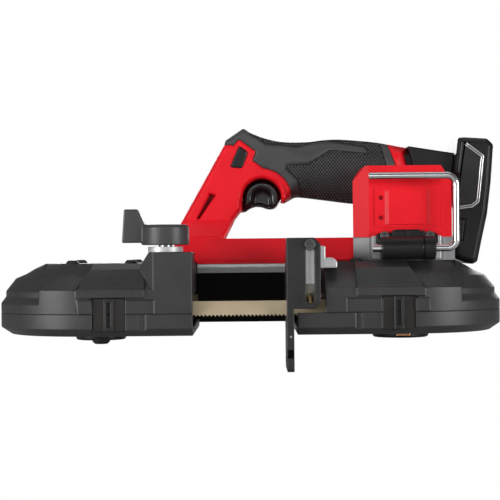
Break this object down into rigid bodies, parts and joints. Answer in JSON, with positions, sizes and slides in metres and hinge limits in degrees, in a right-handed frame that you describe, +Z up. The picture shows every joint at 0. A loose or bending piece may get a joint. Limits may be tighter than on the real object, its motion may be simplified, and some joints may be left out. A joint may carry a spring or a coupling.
{
  "type": "portable band saw",
  "caption": "Cordless hand-held band saw with round wheel housings, pistol grip handle, tension lever, adjustable work shoe, swinging hang hook and slide-in battery.",
  "frame": {"origin": "middle of the bounding box at the lower tip of the work shoe", "axes": "+X along the blade towards the drive wheel, +Y away from the cutting side, +Z up along the wheel axes"},
  "size_m": [0.338, 0.1424, 0.1631],
  "materials": {
    "shell_plastic": "fine satin grain",
    "red_plastic": "satin red",
    "grip_rubber": "matt with raised hexagons",
    "black_plastic": "satin black",
    "cast_aluminium": "as cast",
    "steel": "machined",
    "black_steel": "black coated",
    "zinc": "bright plated",
    "blade_steel": "straw tinted steel",
    "brass": "machined",
    "bronze": "sintered",
    "tyre_rubber": "smooth",
    "copper": "varnished windings",
    "board": "circuit board",
    "cell_wrap": "shrink sleeve",
    "panel": "smooth charcoal",
    "spring_steel": "oiled"
  },
  "bodies": {
    "saw": {"left_upper_shell": "shell_plastic", "right_upper_shell": "shell_plastic", "left_lower_guard": "shell_plastic", "right_lower_guard": "shell_plastic", "clip_plates": "black_steel", "main_frame": "cast_aluminium", "rear_guard": "black_plastic", "blade": "blade_steel", "tension_spring": "spring_steel", "tension_collar": "cast_aluminium", "output_bearing": "steel", "ring_gear": "steel", "motor_stator": "copper", "motor_bells": "cast_aluminium", "gear_case": "cast_aluminium", "motor_cover": "red_plastic", "control_board": "board", "left_guide_arm": "steel", "right_guide_arm": "cast_aluminium", "shoe_screw": "black_steel", "hook_bracket": "black_plastic", "hook_backing": "cast_aluminium", "bracket_screws": "black_steel", "handle_near": "red_plastic", "handle_far": "red_plastic", "grip_near": "grip_rubber", "grip_far": "grip_rubber", "handle_screws": "black_steel", "switch_module": "black_plastic", "battery_socket": "black_plastic", "deck_screws": "black_steel"},
    "drive": {"drive_wheel": "cast_aluminium", "drive_tyre": "tyre_rubber", "drive_cap": "steel", "drive_bush": "bronze", "output_shaft": "steel"},
    "planet_1": {"planet_gear_1": "steel"},
    "planet_2": {"planet_gear_2": "steel"},
    "planet_3": {"planet_gear_3": "steel"},
    "motor": {"motor_rotor": "steel"},
    "slide": {"tension_slide": "steel", "idler_nut": "black_steel"},
    "idler": {"idler_wheel": "cast_aluminium", "idler_tyre": "tyre_rubber", "idler_bearings": "steel"},
    "lever": {"tension_lever": "shell_plastic", "tension_shaft": "steel"},
    "left_front_roller": {"left_roller_front": "brass"},
    "left_back_roller": {"left_roller_back": "brass"},
    "right_front_roller": {"right_roller_front": "brass"},
    "right_back_roller": {"right_roller_back": "brass"},
    "trigger": {"trigger": "black_plastic"},
    "lock": {"lock_button": "black_plastic"},
    "hook": {"hook_rod": "zinc"},
    "shoe": {"shoe": "black_steel"},
    "battery": {"battery_case": "black_plastic", "battery_cells": "cell_wrap", "battery_panels": "panel"},
    "latch_near": {"battery_latch_near": "black_plastic"},
    "latch_far": {"battery_latch_far": "black_plastic"}
  },
  "joints": [
    {"name": "drive_spin", "type": "hinge", "parent": "saw", "child": "drive", "pos_m": [0.102, 0.00305, 0.0402], "axis": [0, 0, 1], "continuous": true},
    {"name": "motor_spin", "type": "hinge", "parent": "saw", "child": "motor", "pos_m": [0.102, 0.00305, 0.0702], "axis": [0, 0, 1], "continuous": true},
    {"name": "planet_1_spin", "type": "hinge", "parent": "drive", "child": "planet_1", "pos_m": [0.1108, 0.00305, 0.0702], "axis": [0, 0, 1], "continuous": true},
    {"name": "planet_2_spin", "type": "hinge", "parent": "drive", "child": "planet_2", "pos_m": [0.0976, 0.01067, 0.0702], "axis": [0, 0, 1], "continuous": true},
    {"name": "planet_3_spin", "type": "hinge", "parent": "drive", "child": "planet_3", "pos_m": [0.0976, -0.00457, 0.0702], "axis": [0, 0, 1], "continuous": true},
    {"name": "lever_turn", "type": "hinge", "parent": "saw", "child": "lever", "pos_m": [-0.055, -0.04195, 0.0769], "axis": [0, 0, 1], "range_deg": [0, 180]},
    {"name": "slide_move", "type": "slide", "parent": "saw", "child": "slide", "axis": [1, 0, 0], "range_m": [0, 0.006], "deforming": ["tension_spring"]},
    {"name": "idler_spin", "type": "hinge", "parent": "slide", "child": "idler", "pos_m": [-0.102, 0.00305, 0.0402], "axis": [0, 0, 1], "continuous": true},
    {"name": "left_front_roller_spin", "type": "hinge", "parent": "saw", "child": "left_front_roller", "pos_m": [-0.045, -0.05764, 0.04225], "axis": [0, 0.682, 0.7314], "continuous": true},
    {"name": "left_back_roller_spin", "type": "hinge", "parent": "saw", "child": "left_back_roller", "pos_m": [-0.045, -0.05326, 0.03815], "axis": [0, 0.682, 0.7314], "continuous": true},
    {"name": "right_front_roller_spin", "type": "hinge", "parent": "saw", "child": "right_front_roller", "pos_m": [0.038, -0.05764, 0.04225], "axis": [0, 0.682, 0.7314], "continuous": true},
    {"name": "right_back_roller_spin", "type": "hinge", "parent": "saw", "child": "right_back_roller", "pos_m": [0.038, -0.05326, 0.03815], "axis": [0, 0.682, 0.7314], "continuous": true},
    {"name": "trigger_pull", "type": "slide", "parent": "saw", "child": "trigger", "axis": [0, 0, 1], "range_m": [0, 0.006], "stiffness_N_per_m": 900, "springref_m": -0.002},
    {"name": "lock_push", "type": "slide", "parent": "saw", "child": "lock", "axis": [0, 1, 0], "range_m": [0, 0.003], "stiffness_N_per_m": 800, "springref_m": -0.001},
    {"name": "hook_swing", "type": "hinge", "parent": "saw", "child": "hook", "pos_m": [0.102, -0.03895, 0.078], "axis": [1, 0, 0], "range_deg": [0, 90]},
    {"name": "shoe_slide", "type": "slide", "parent": "saw", "child": "shoe", "axis": [0, 0, 1], "range_m": [0, 0.03]},
    {"name": "battery_slide", "type": "slide", "parent": "saw", "child": "battery", "axis": [0.9925, 0, -0.1219], "range_m": [0, 0.07]},
    {"name": "latch_near_push", "type": "slide", "parent": "battery", "child": "latch_near", "axis": [0, 1, 0], "range_m": [0, 0.0015], "stiffness_N_per_m": 800, "springref_m": -0.001},
    {"name": "latch_far_push", "type": "slide", "parent": "battery", "child": "latch_far", "axis": [0, -1, 0], "range_m": [0, 0.0015], "stiffness_N_per_m": 800, "springref_m": -0.001}
  ],
  "couplings": [
    {"joint": "motor_spin", "follows": "drive_spin", "ratio": 5.5},
    {"joint": "planet_1_spin", "follows": "drive_spin", "ratio": -2.5714},
    {"joint": "planet_2_spin", "follows": "drive_spin", "ratio": -2.5714},
    {"joint": "planet_3_spin", "follows": "drive_spin", "ratio": -2.5714},
    {"joint": "lever_turn", "follows": "slide_move", "rad_per_m": 523.59},
    {"joint": "idler_spin", "follows": "drive_spin", "ratio": 1}
  ]
}
